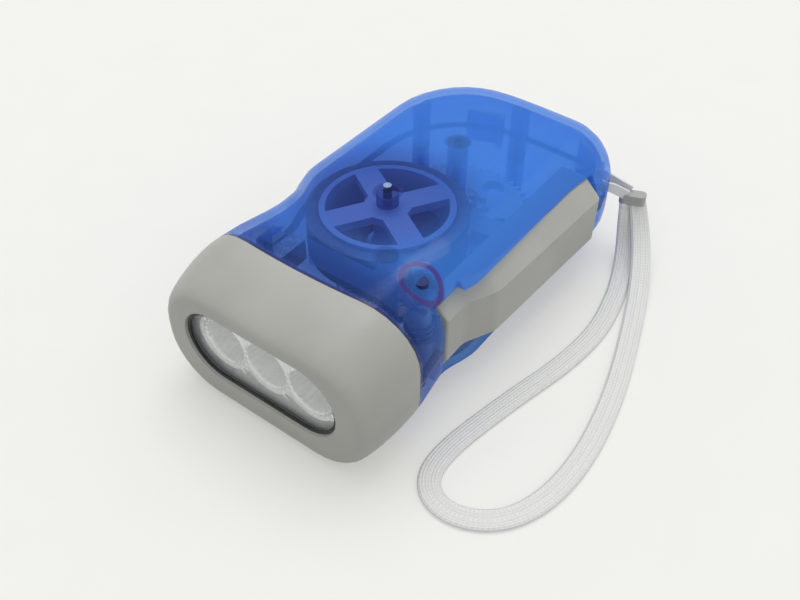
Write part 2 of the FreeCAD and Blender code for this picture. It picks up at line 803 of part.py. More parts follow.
def spider_window(middle):
    """One window between two arms: a ring segment with parallel-sided arms left beside it."""
    ring = ring_tube(FLY_AXLE, FLY_R - 4.4, 5.4, FLY_Z1 - 4, FLY_Z1 + 1)
    corner = box(0, 30, 0, 30, FLY_Z1 - 4, FLY_Z1 + 1)
    corner.translate(V(2.9, 2.9, 0))
    corner.rotate(V(0, 0, 0), V(0, 0, 1), middle - 45)
    corner.translate(V(FLY_AXLE[0], FLY_AXLE[1], 0))
    return ring.common(corner)


def flywheel_ring():
    """Heavy ring round the flywheel's rim."""
    inner = FLY_R - 3.0
    profile = [(FLY_Z0, 5.0), (FLY_Z0, FLY_R), (FLY_Z1 - 0.8, FLY_R), (FLY_Z1 - 0.8, inner)]
    profile += [(FLY_Z0 + 1.0, inner), (FLY_Z0 + 1.0, 5.0)]
    return turned_up(FLY_AXLE, profile, FLY_SIDES)


def magnet():
    """Round magnet on the flywheel's sleeve, inside the stator."""
    return column(FLY_AXLE, 5.6, 2.8, 9.5).cut(post(FLY_AXLE, AXLE_R + RUN_GAP, 0, 20))


def claw_plate(z_disc, z_tip, turn):
    """Pressed steel stator plate with bent claws round the magnet."""
    thick = 0.6
    low = min(z_disc, z_tip)
    high = max(z_disc + thick, z_tip)
    parts = [ring_tube(FLY_AXLE, STATOR_R, 6.2, z_disc, z_disc + thick)]
    for k in range(4):
        claw = box(6.2, 6.8, -1.6, 1.6, low, high)
        claw.rotate(V(0, 0, 0), V(0, 0, 1), turn + 90 * k)
        claw.translate(V(FLY_AXLE[0], FLY_AXLE[1], 0))
        parts.append(claw)
    return fused(parts)


def coil_bobbin():
    """Plastic spool between the two plates."""
    profile = [(3.0, 7.0), (3.0, 12.4), (3.7, 12.4), (3.7, 7.9), (7.9, 7.9), (7.9, 12.4), (8.6, 12.4), (8.6, 7.0)]
    return turned_up(FLY_AXLE, profile, COIL_SIDES)


def coil_winding():
    """Copper winding on the spool."""
    return ring_tube(FLY_AXLE, 11.9, 7.9, 3.7, 7.9)


BATTERY_AT = (28.0, -12.8, 10.0)


def battery_pack():
    """Three button cells in one sleeve, lying across the torch."""
    x, y, z = BATTERY_AT
    profile = [(y, 0.0), (y, CELL_R - 0.5)]
    for k in range(CELLS):
        near = y + k * CELL_L
        profile += [(near + 0.5, CELL_R), (near + CELL_L - 0.5, CELL_R), (near + CELL_L, CELL_R - 0.5)]
    profile.append((y + CELLS * CELL_L, 0.0))
    return turned_y((x, z), profile, 20)


def battery_tab(y):
    """Nickel strip welded on one end of the battery."""
    x, _, z = BATTERY_AT
    return box(x - 2.0, x + 2.0, y, y + 0.3, z - 3.0, z + 10.5)


def axle(at, z0, z1, radius):
    """Plain steel pin."""
    return post(at, radius, z0, z1)


def screws():
    """The case screws, as a group of equal solids."""
    found = []
    for at in SCREW_POSTS:
        profile = [(3.4, 0), (3.4, 2.2), (5.0, 2.2), (5.0, SCREW_R), (23.6, SCREW_R), (23.6, 0)]
        found.append(turned_up(at, profile, 14))
    return Part.makeCompound(found)


def switch_body():
    """Metal case of the slide switch."""
    x0 = SWITCH_X - 5.6
    can = box(x0, x0 + 11.0, -21.6, -17.4, SPLIT_Z - 3.0, SPLIT_Z + 2.6)
    groove = box(SWITCH_X - 4.2, SWITCH_X + 4.2, -22.0, -20.4, SPLIT_Z - 1.3, SPLIT_Z + 1.3)
    return can.cut(groove)


def switch_knob():
    """Ridged thumb slide of the switch, at the rear end of its travel."""
    x = SWITCH_X - SWITCH_TRAVEL / 2
    pad = box(x - 3.0, x + 3.0, -26.6, -24.2, SPLIT_Z - 2.9, SPLIT_Z + 2.9)
    for k in range(5):
        groove = box(x - 2.5 + 1.1 * k, x - 1.9 + 1.1 * k, -27.0, -26.1, SPLIT_Z - 4, SPLIT_Z + 4)
        pad = pad.cut(groove)
    flange = box(x - 2.4, x + 2.4, -24.2, -22.2, SPLIT_Z - 2.9, SPLIT_Z + 2.9)
    stem = box(x - 1.0, x + 1.0, -22.2, -20.7, SPLIT_Z - 1.0, SPLIT_Z + 1.0)
    return fused([pad, flange, stem])


def lever_lock():
    """Slide in the underside whose finger can hold the folded lever."""
    x, y = LOCK_AT
    pad = box(x - 5.0, x - 0.2, y - 2.2, y + 2.2, 0.5, 2.8)
    for k in range(3):
        pad = pad.cut(box(x - 4.3 + 1.3 * k, x - 3.6 + 1.3 * k, y - 3, y + 3, 0.3, 1.0))
    plate = box(x - 4.2, x + 1.5, y - 3.4, y + 3.2, 2.8, 3.8)
    riser = box(x - 0.5, x + 1.5, y + 1.6, y + 3.2, 2.8, 5.6)
    arm = box(x - 0.5, x + 1.5, y + 1.6, y + 5.6, 4.6, 5.6)
    finger = box(x + 0.3, x + 1.5, y + 4.4, y + 5.6, 4.6, LEVER_Z0 + 1.6)
    return fused([pad, plate, riser, arm, finger])


def strap_arcs(points):
    """Radius for each corner of the strap's route, as large as its runs allow."""
    corners = [(V(*points[0]), 0.0)]
    radii = []
    for i in range(1, len(points) - 1):
        before = V(*points[i - 1])
        here = V(*points[i])
        after = V(*points[i + 1])
        turn = (here - before).getAngle(after - here)
        run = min(here.distanceToPoint(before), here.distanceToPoint(after))
        radius = 0.45 * run / math.tan(turn / 2)
        radii.append(radius)
        corners.append((here, radius))
    corners.append((V(*points[-1]), 0.0))
    print("strap radii", " ".join("%.1f" % r for r in radii))
    return corners


def ribbon(path, edge, width, thickness, upright):
    """Flat band along a path; its section is set square on one level run."""
    start = edge.valueAt(edge.FirstParameter)
    along = edge.tangentAt(edge.FirstParameter)
    side = V(0, 0, 1).cross(along).normalize()
    wide = V(0, 0, 1) if upright else side
    thin = side if upright else V(0, 0, 1)
    half_w = wide * (width / 2)
    half_t = thin * (thickness / 2)
    corners = [start + half_w + half_t, start - half_w + half_t]
    corners += [start - half_w - half_t, start + half_w - half_t]
    pipe = Part.BRepOffsetAPI.MakePipeShell(path)
    pipe.add(Part.makePolygon(corners + [corners[0]]))
    pipe.build()
    pipe.makeSolid()
    band = pipe.shape()
    expected = width * thickness * path.Length
    print("ribbon length %.1f, volume %.0f, section times length %.0f" % (path.Length, band.Volume, expected))
    return band


def wrist_strap():
    """Flat woven band from the crimp, round its loop on the floor and back."""
    path = rounded_wire(strap_arcs(STRAP_ROUTE), closed=False)
    level = path.Edges[len(path.Edges) // 2]
    return ribbon(path, level, STRAP_W, STRAP_T, False)


def strap_loop():
    """Narrow ribbon from the crimp, in at the tail corner, round the strap post and back."""
    bend = STRAP_POST_R + 0.3 + LOOP_T / 2
    ahead = polar((0, 0), 1.0, LOOP_BEARING)
    side = (ahead[1], -ahead[0])
    px, py = STRAP_POST
    level = 18.6
    corners = [(V(-46.9, 32.3, 15.4), 0.0)]
    for across, along, radius in ((1, 2.0, 5.0), (1, -1.0, 0.97 * bend), (-1, -1.0, 0.97 * bend), (-1, 1.6, 5.0)):
        x = px + bend * (across * side[0] + along * ahead[0])
        y = py + bend * (across * side[1] + along * ahead[1])
        corners.append((V(x, y, level), radius))
    corners.append((V(-49.1, 32.4, 15.6), 0.0))
    path = rounded_wire(corners, closed=False)
    return ribbon(path, path.Edges[3], LOOP_W, LOOP_T, True)


def strap_crimp():
    """Flattened sleeve that joins both ends of the band to the loop."""
    solid = section_plate(0.0, 2.6, 3.2, -1.5, 1.5, 1.2)
    solid.rotate(V(0, 0, 0), V(0, 1, 0), -90)
    solid.rotate(V(0, 0, 0), V(0, 0, 1), 22)
    solid.translate(V(-48.2, 33.5, 13.0))
    return solid


STEEL_PINS = {
    "lever_pivot_pin": (PIVOT, 1.4, HEIGHT - 1.4, PIVOT_PIN_R),
    "drive_axle": (DRIVE_AXLE, 1.4, HEIGHT - 1.4, AXLE_R),
    "flywheel_axle": (FLY_AXLE, 1.0, HEIGHT - 1.4, AXLE_R),
}


def all_parts():
    """Every piece by its name."""
    parts = {
        "upper_shell": upper_shell(),
        "lower_shell": lower_shell(),
        "head_bezel": head_bezel(),
        "lens": lens(),
        "lens_seal": lens_seal(),
        "reflector": reflector(),
        "led_board": led_board(),
        "lever": lever(),
        "lever_spring": lever_spring(),
        "lever_lock": lever_lock(),
        "clutch_pinion": clutch_pinion(),
        "drive_gear": drive_gear(),
        "flywheel_spider": flywheel_spider(),
        "flywheel_ring": flywheel_ring(),
        "magnet": magnet(),
        "stator_plate_lower": claw_plate(2.4, 8.4, 0.0),
        "stator_plate_upper": claw_plate(8.6, 3.2, 45.0),
        "coil_bobbin": coil_bobbin(),
        "coil_winding": coil_winding(),
        "battery_pack": battery_pack(),
        "battery_tab_left": battery_tab(BATTERY_AT[1] - 0.3),
        "battery_tab_right": battery_tab(BATTERY_AT[1] + CELLS * CELL_L),
        "switch_body": switch_body(),
        "switch_knob": switch_knob(),
        "case_screws": screws(),
        "strap_loop": strap_loop(),
        "strap_crimp": strap_crimp(),
        "wrist_strap": wrist_strap(),
    }
    for name, (at, z0, z1, radius) in STEEL_PINS.items():
        parts[name] = axle(at, z0, z1, radius)
    for number, at in enumerate(cup_places(), 1):
        parts["led_%d" % number] = led(at)
    return parts


def main():
    """Writes one STEP file for each piece."""
    os.makedirs("parts", exist_ok=True)
    for name, shape in all_parts().items():
        if not shape.isValid():
            print("not valid:", name)
        shape.exportStep("parts/%s.step" % name)


main()
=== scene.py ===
import math
import bpy
import bmesh
from mathutils import Matrix, Vector


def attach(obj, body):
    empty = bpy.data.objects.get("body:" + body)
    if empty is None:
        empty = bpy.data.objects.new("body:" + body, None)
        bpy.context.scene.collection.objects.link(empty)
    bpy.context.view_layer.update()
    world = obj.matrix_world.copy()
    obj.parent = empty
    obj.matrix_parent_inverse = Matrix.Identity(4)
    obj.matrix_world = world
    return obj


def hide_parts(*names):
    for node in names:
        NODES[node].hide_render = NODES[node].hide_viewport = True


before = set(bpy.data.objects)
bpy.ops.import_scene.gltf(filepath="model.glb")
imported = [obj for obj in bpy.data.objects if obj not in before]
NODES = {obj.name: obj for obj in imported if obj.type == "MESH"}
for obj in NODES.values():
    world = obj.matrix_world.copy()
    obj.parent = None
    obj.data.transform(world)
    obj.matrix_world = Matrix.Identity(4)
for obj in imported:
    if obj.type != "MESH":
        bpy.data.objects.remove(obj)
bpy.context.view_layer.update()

# Camera, fitted to the photograph

CAMERA_OFFSET = (-0.003955, -0.002201, 0.212456)
CAMERA_TURN = 36.79
CAMERA_DOWN = 43.63
CAMERA_ROLL = 0.197
LENS = 38.94


def make_camera():
    az = math.radians(CAMERA_TURN)
    el = math.radians(CAMERA_DOWN)
    roll = math.radians(CAMERA_ROLL)
    back = Vector((math.cos(el) * math.cos(az), math.cos(el) * math.sin(az), math.sin(el)))
    right = Vector((-math.sin(az), math.cos(az), 0.0))
    up = back.cross(right)
    c, s = math.cos(roll), math.sin(roll)
    turned = (right * c - up * s, right * s + up * c, back)
    data = bpy.data.cameras.new("camera")
    data.sensor_width = 36.0
    data.lens = LENS
    data.shift_x = 0.0075
    data.clip_start = 0.01
    camera = bpy.data.objects.new("camera", data)
    bpy.context.scene.collection.objects.link(camera)
    turn = Matrix(turned).transposed().to_4x4()
    place = sum((axis * step for axis, step in zip(turned, CAMERA_OFFSET)), Vector())
    camera.matrix_world = Matrix.Translation(place) @ turn
    bpy.context.scene.camera = camera


make_camera()

# Wrist strap: a flat woven band along the CAD's route

STRAP_W = 0.0048
STRAP_T = 0.0011
STRAP_ROUTE = [
    (-0.0474, 0.0329, 0.0132), (-0.0464, 0.0342, 0.0070), (-0.0424, 0.0366, 0.0022),
    (-0.0350, 0.0394, 0.00056), (-0.0264, 0.0418, 0.00056), (-0.0139, 0.0436, 0.00056),
    (0.0005, 0.0419, 0.00056), (0.0126, 0.0387, 0.00056), (0.0247, 0.0360, 0.00056),
    (0.0346, 0.0342, 0.00056), (0.0418, 0.0346, 0.00056), (0.0460, 0.0382, 0.00056),
    (0.0468, 0.0440, 0.00056), (0.0438, 0.0504, 0.00056), (0.0380, 0.0548, 0.00056),
    (0.0295, 0.0572, 0.00056), (0.0190, 0.0576, 0.00056), (0.0080, 0.0564, 0.00056),
    (-0.0040, 0.0540, 0.00056), (-0.0180, 0.0500, 0.0006), (-0.0310, 0.0458, 0.0012),
    (-0.0414, 0.0412, 0.0038), (-0.0476, 0.0370, 0.0082), (-0.0492, 0.0344, 0.0136),
]


def curve_points(name, route, resolution):
    """Points along a smooth spline through a route."""
    curve = bpy.data.curves.new(name, "CURVE")
    curve.dimensions = "3D"
    spline = curve.splines.new("NURBS")
    spline.points.add(len(route) - 1)
    for point, place in zip(spline.points, route):
        point.co = (*place, 1.0)
    spline.order_u = 3
    spline.use_endpoint_u = True
    spline.resolution_u = resolution
    holder = bpy.data.objects.new(name, curve)
    bpy.context.scene.collection.objects.link(holder)
    bpy.context.view_layer.update()
    mesh = bpy.data.meshes.new_from_object(holder)
    points = [v.co.copy() for v in mesh.vertices]
    bpy.data.objects.remove(holder)
    return points


def band_mesh(name, points, section, side_at):
    """Mesh with one closed section at each point; UV runs along in metres and across in metres."""
    mesh = bpy.data.meshes.new(name)
    bm = bmesh.new()
    uv = bm.loops.layers.uv.new("UVMap")
    rows = []
    along = [0.0]
    for a, b in zip(points, points[1:]):
        along.append(along[-1] + (b - a).length)
    for i, p in enumerate(points):
        ahead = (points[min(i + 1, len(points) - 1)] - points[max(i - 1, 0)]).normalized()
        side = side_at(i, ahead)
        top = ahead.cross(side) * -1
        if top.z < 0 and abs(top.z) > 0.3:
            top = -top
        rows.append([bm.verts.new(p + side * across + top * lift) for across, lift in section])
    count = len(section)
    girth = [0.0]
    for k in range(count):
        a = Vector(section[k])
        b = Vector(section[(k + 1) % count])
        girth.append(girth[-1] + (b - a).length)
    for i in range(len(points) - 1):
        for k in range(count):
            n = (k + 1) % count
            face = bm.faces.new((rows[i][k], rows[i][n], rows[i + 1][n], rows[i + 1][k]))
            face.smooth = True
            spots = ((i, k), (i, k + 1), (i + 1, k + 1), (i + 1, k))
            for loop, (row, column) in zip(face.loops, spots):
                loop[uv].uv = (along[row], girth[column])
    bm.faces.new(rows[0])
    bm.faces.new(list(reversed(rows[-1])))
    bmesh.ops.recalc_face_normals(bm, faces=bm.faces)
    bm.to_mesh(mesh)
    bm.free()
    piece = bpy.data.objects.new(name, mesh)
    bpy.context.scene.collection.objects.link(piece)
    return piece, along[-1]


def level_side(i, ahead):
    return Vector((0, 0, 1)).cross(ahead).normalized()


def strap_section():
    """Flat band with rounded edges that thin out, read once round."""
    w = STRAP_W / 2
    t = STRAP_T / 2
    upper = []
    steps = 16
    for k in range(steps + 1):
        x = -1 + 2 * k / steps
        edge = max(0.0, (abs(x) - 0.80) / 0.20)
        height = t * math.sqrt(max(0.0, 1 - edge ** 2))
        upper.append((x * w, max(height, t * 0.12)))
    lower = [(x, -h) for x, h in reversed(upper)]
    return upper + lower


strap_points = curve_points("strap_line", STRAP_ROUTE, 10)
strap, strap_length = band_mesh("strap_band", strap_points, strap_section(), level_side)
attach(strap, "root")
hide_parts("wrist_strap")


# Cup faces: bright front plate with three rimmed, fluted cups, set inside the CAD's reflector

CUP_PITCH = 0.0114
CUP_Z = 0.0164
CUP_FACETS = 11
CUP_R = 0.00515
CUP_THROAT_R = 0.0031
CUP_DEPTH = 0.0058
CUP_STEPS = 7
CUP_SIDES = 88
FLUTE = 0.00014
PLATE_X = 0.0490
PLATE_HALF_L = 0.0197
PLATE_HALF_H = 0.0086
RIM_RISE = 0.00036
RIM_W = 0.00038
END_SIDES = 24


def ring_points(x, y, radius, flute):
    """One ring of a cup; its radius dips at each flute's edge."""
    ring = []
    for k in range(CUP_SIDES):
        turn = 2 * math.pi * k / CUP_SIDES
        r = radius - flute * abs(math.sin(turn * CUP_FACETS))
        ring.append((x, y + r * math.cos(turn), CUP_Z + r * math.sin(turn)))
    return ring


def plate_outline():
    """Stadium outline of the front plate."""
    straight = PLATE_HALF_L - PLATE_HALF_H
    outline = []
    for side, start in ((1, -math.pi / 2), (-1, math.pi / 2)):
        for k in range(END_SIDES + 1):
            turn = start + math.pi * k / END_SIDES
            across = side * straight + PLATE_HALF_H * math.cos(turn)
            outline.append((PLATE_X, across, CUP_Z + PLATE_HALF_H * math.sin(turn)))
    return outline


def join_rings(bm, first, second):
    count = len(first)
    for k in range(count):
        n = (k + 1) % count
        bm.faces.new((first[k], first[n], second[n], second[k])).smooth = True


def cup_faces():
    mesh = bpy.data.meshes.new("cup_faces")
    bm = bmesh.new()
    border = [bm.verts.new(p) for p in plate_outline()]
    edges = [bm.edges.new((a, b)) for a, b in zip(border, border[1:] + border[:1])]
    for y in (-CUP_PITCH, 0.0, CUP_PITCH):
        rings = [
            (PLATE_X, CUP_R + 2 * RIM_W, 0.0), (PLATE_X + RIM_RISE, CUP_R + 1.4 * RIM_W, 0.0),
            (PLATE_X + RIM_RISE, CUP_R + 0.6 * RIM_W, 0.0), (PLATE_X, CUP_R, 0.0),
        ]
        for step_in in range(1, CUP_STEPS + 1):
            share = step_in / CUP_STEPS
            radius = CUP_THROAT_R + (CUP_R - CUP_THROAT_R) * math.sqrt(1 - share)
            rings.append((PLATE_X - CUP_DEPTH * share, radius, FLUTE))
        placed = [[bm.verts.new(p) for p in ring_points(x, y, r, flute)] for x, r, flute in rings]
        for first, second in zip(placed, placed[1:]):
            join_rings(bm, first, second)
        first = placed[0]
        edges += [bm.edges.get((a, b)) for a, b in zip(first, first[1:] + first[:1])]
    bmesh.ops.triangle_fill(bm, use_beauty=True, edges=edges)
    bmesh.ops.recalc_face_normals(bm, faces=bm.faces)
    bm.to_mesh(mesh)
    bm.free()
    piece = bpy.data.objects.new("cup_faces", mesh)
    bpy.context.scene.collection.objects.link(piece)
    return piece


cups = cup_faces()
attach(cups, "root")


# Smooth shading of the CAD's flats, by modifiers alone

SHARP_ANGLE = math.radians(32.0)
WELD = 0.000001


def smoothing_group():
    """Weld the mesh and shade it smooth, except at edges sharper than the limit."""
    group = bpy.data.node_groups.new("soft_flats", "GeometryNodeTree")
    group.interface.new_socket("Geometry", in_out="INPUT", socket_type="NodeSocketGeometry")
    group.interface.new_socket("Geometry", in_out="OUTPUT", socket_type="NodeSocketGeometry")
    nodes = group.nodes
    geometry = nodes.new("NodeGroupInput").outputs[0]
    for attribute in ("custom_normal", "sharp_edge", "sharp_face"):
        clear = nodes.new("GeometryNodeRemoveAttribute")
        clear.inputs["Name"].default_value = attribute
        group.links.new(geometry, clear.inputs["Geometry"])
        geometry = clear.outputs["Geometry"]
    weld = nodes.new("GeometryNodeMergeByDistance")
    weld.inputs["Distance"].default_value = WELD
    faces = nodes.new("GeometryNodeSetShadeSmooth")
    edges = nodes.new("GeometryNodeSetShadeSmooth")
    edges.domain = "EDGE"
    edges.inputs["Shade Smooth"].default_value = False
    angle = nodes.new("GeometryNodeInputMeshEdgeAngle")
    sharp = nodes.new("FunctionNodeCompare")
    sharp.operation = "GREATER_THAN"
    sharp.inputs[1].default_value = SHARP_ANGLE
    end = nodes.new("NodeGroupOutput")
    group.links.new(geometry, weld.inputs["Geometry"])
    group.links.new(weld.outputs["Geometry"], faces.inputs["Geometry"])
    group.links.new(faces.outputs["Geometry"], edges.inputs["Geometry"])
    group.links.new(angle.outputs["Unsigned Angle"], sharp.inputs[0])
    group.links.new(sharp.outputs["Result"], edges.inputs["Selection"])
    group.links.new(edges.outputs["Geometry"], end.inputs[0])
    return group


soft_flats = smoothing_group()
for piece in NODES.values():
    piece.modifiers.new("soft_flats", "NODES").node_group = soft_flats
    weighted = piece.modifiers.new("face_weights", "WEIGHTED_NORMAL")
    weighted.keep_sharp = True


# Materials

def new_material(name):
    material = bpy.data.materials.new(name)
    material.use_nodes = True
    tree = material.node_tree
    shader = tree.nodes["Principled BSDF"]
    return material, tree, shader


def add(tree, kind, **inputs):
    node = tree.nodes.new(kind)
    for key, value in inputs.items():
        node.inputs[key.replace("_", " ")].default_value = value
    return node


def feed(tree, socket, value):
    """Link a socket, or set its constant."""
    if isinstance(value, bpy.types.NodeSocket):
        tree.links.new(value, socket)
    elif isinstance(value, tuple) and len(value) == 3 and socket.type == "RGBA":
        socket.default_value = (*value, 1.0)
    else:
        socket.default_value = value


def maths(tree, operation, *values):
    node = tree.nodes.new("ShaderNodeMath")
    node.operation = operation
    for socket, value in zip(node.inputs, values):
        feed(tree, socket, value)
    return node.outputs[0]


def step(tree, source, start, end):
    """Smooth step from 0 at start to 1 at end."""
    node = tree.nodes.new("ShaderNodeMapRange")
    node.interpolation_type = "SMOOTHSTEP"
    node.inputs["From Min"].default_value = start
    node.inputs["From Max"].default_value = end
    tree.links.new(source, node.inputs["Value"])
    return node.outputs["Result"]


def between(tree, share, first, second):
    node = tree.nodes.new("ShaderNodeMix")
    node.data_type = "RGBA"
    tree.links.new(share, node.inputs[0])
    feed(tree, node.inputs[6], first)
    feed(tree, node.inputs[7], second)
    return node.outputs[2]


def object_coordinates(tree):
    return tree.nodes.new("ShaderNodeTexCoord").outputs["Object"]


def parts_of(tree, vector):
    split = tree.nodes.new("ShaderNodeSeparateXYZ")
    tree.links.new(vector, split.inputs["Vector"])
    return split.outputs["X"], split.outputs["Y"], split.outputs["Z"]


def edge_gloss(tree, ior):
    """Fresnel share that is the same from both sides of a wall, as light here goes straight through it."""
    behind = tree.nodes.new("ShaderNodeNewGeometry").outputs["Backfacing"]
    power = maths(tree, "MULTIPLY_ADD", behind, -2.0, 1.0)
    node = tree.nodes.new("ShaderNodeFresnel")
    tree.links.new(maths(tree, "POWER", ior, power), node.inputs["IOR"])
    return node.outputs["Fac"]


def plan_distance(tree, x, y, at):
    """Distance in plan from an upright line."""
    across = maths(tree, "SUBTRACT", x, at[0])
    along = maths(tree, "SUBTRACT", y, at[1])
    across_squared = maths(tree, "MULTIPLY", across, across)
    along_squared = maths(tree, "MULTIPLY", along, along)
    return maths(tree, "SQRT", maths(tree, "ADD", across_squared, along_squared))


def noise(tree, scale, detail=3.0, rough=0.55, stretch=None):
    node = add(tree, "ShaderNodeTexNoise", Scale=scale, Detail=detail, Roughness=rough)
    place = object_coordinates(tree)
    if stretch:
        mapping = tree.nodes.new("ShaderNodeMapping")
        mapping.inputs["Scale"].default_value = stretch
        tree.links.new(place, mapping.inputs["Vector"])
        place = mapping.outputs["Vector"]
    tree.links.new(place, node.inputs["Vector"])
    return node.outputs["Fac"]


def ramp(tree, source, stops):
    node = tree.nodes.new("ShaderNodeValToRGB")
    elements = node.color_ramp.elements
    while len(elements) < len(stops):
        elements.new(0.5)
    for element, (place, colour) in zip(elements, stops):
        element.position = place
        element.color = (*colour, 1.0)
    tree.links.new(source, node.inputs["Fac"])
    return node.outputs["Color"]


def spread(tree, source, low, high, target):
    node = tree.nodes.new("ShaderNodeMapRange")
    node.inputs["To Min"].default_value = low
    node.inputs["To Max"].default_value = high
    tree.links.new(source, node.inputs["Value"])
    tree.links.new(node.outputs["Result"], target)


def bump(tree, source, shader, distance, strength=1.0):
    node = add(tree, "ShaderNodeBump", Strength=strength, Distance=distance)
    tree.links.new(source, node.inputs["Height"])
    tree.links.new(node.outputs["Normal"], shader.inputs["Normal"])


def satin(name, dark, light, rough=(0.34, 0.46), grain=0.000012):
    material, tree, shader = new_material(name)
    cloud = noise(tree, 60.0)
    tree.links.new(ramp(tree, cloud, [(0.3, dark), (0.7, light)]), shader.inputs["Base Color"])
    spread(tree, noise(tree, 900.0, 2.0), rough[0], rough[1], shader.inputs["Roughness"])
    bump(tree, noise(tree, 2600.0, 2.0), shader, grain)
    return material


def metal(name, dark, light, rough=(0.18, 0.34), stretch=(1, 1, 12)):
    material, tree, shader = new_material(name)
    shader.inputs["Metallic"].default_value = 1.0
    streak = noise(tree, 500.0, 4.0, 0.6, stretch)
    tree.links.new(ramp(tree, streak, [(0.3, dark), (0.7, light)]), shader.inputs["Base Color"])
    spread(tree, streak, rough[0], rough[1], shader.inputs["Roughness"])
    bump(tree, streak, shader, 0.000006)
    return material


# Painted shade on the shell: a slate disc round the gears and a slate fade towards the head, placed by these
# numbers.
GEARS_AT = (0.008, -0.002)
GEAR_SHADE_INNER = 0.009
GEAR_SHADE_OUTER = 0.025
HEAD_SHADE_START = 0.020
HEAD_SHADE_SHARE = 0.75
HEAD_SHADE_END = 0.034
SPLIT_Z = 0.0165
BOSS_LOW = 0.0265
BOSS_HIGH = 0.0317
BOSS_FADE = 0.0004
RING_OUTER = 0.00105
RING_INNER = 0.00035
AXLE_SPOT = 0.0008
SEAM_X = 0.0371
SEAM_BOW = 0.0019
SEAM_HALF = 0.0278
FLYWHEEL_BOSS = (0.00435, -0.00338, 0.00265)
MIDDLE_BOSSES = [FLYWHEEL_BOSS, (0.0216, 0.0092, 0.0022), (-0.0212, -0.0018, 0.0025)]
EDGE_BOSSES = [(0.0240, 0.0196, 0.0040)]
# Veil colours of the shell: a painted light azure where the shell is empty, a painted shade slate over the
# gears and by the head.
PAINTED_LIGHT_AZURE = (0.045, 0.30, 1.0)
PAINTED_SHADE_SLATE = (0.045, 0.10, 0.50)
PURPLE = (0.028, 0.016, 0.24)
NAVY = (0.010, 0.020, 0.14)
PALE = (0.55, 0.72, 0.95)
TINT_GEARS = (0.72, 0.77, 0.93)
TINT_EMPTY = (0.66, 0.83, 0.985)
TINT_EDGE_ON = (0.10, 0.28, 0.86)
EDGE_ON_POWER = 3.0
CLOUD_SHARE = 0.2
COVER_GEARS = 0.11
# Extra veil cover where the painted light azure shows.
COVER_PAINTED_LIGHT_MORE = 0.26
COVER_SEAM = 0.35
COVER_RING = 0.42
COVER_SPOT = 0.35
COVER_RIM = 0.55
SEAM_OUTER = 0.0004
SEAM_INNER = 0.0002
RIM_OUTER = 0.0010
RIM_INNER = 0.0004
SPOT_OUTER = 0.0011
SPOT_FADE = 0.001
SHELL_GLOSS_IOR = 1.35
SHELL_GLOSS = 0.35


def rings_round(tree, x, y, bosses):
    """Soft rings at the edges of some bosses."""
    rings = None
    for *at, radius in bosses:
        away = maths(tree, "ABSOLUTE", maths(tree, "SUBTRACT", plan_distance(tree, x, y, at), radius))
        ring = step(tree, away, RING_OUTER, RING_INNER)
        rings = ring if rings is None else maths(tree, "MAXIMUM", rings, ring)
    return rings


def boss_rings(tree, x, y, z):
    """Rings of the bosses under the top skin; a middle boss shows on the skin's underside alone."""
    above = step(tree, z, BOSS_LOW - BOSS_FADE, BOSS_LOW)
    below = step(tree, z, BOSS_HIGH + BOSS_FADE, BOSS_HIGH)
    middle = maths(tree, "MULTIPLY", rings_round(tree, x, y, MIDDLE_BOSSES), below)
    both = maths(tree, "MAXIMUM", middle, rings_round(tree, x, y, EDGE_BOSSES))
    return maths(tree, "MULTIPLY", both, above)


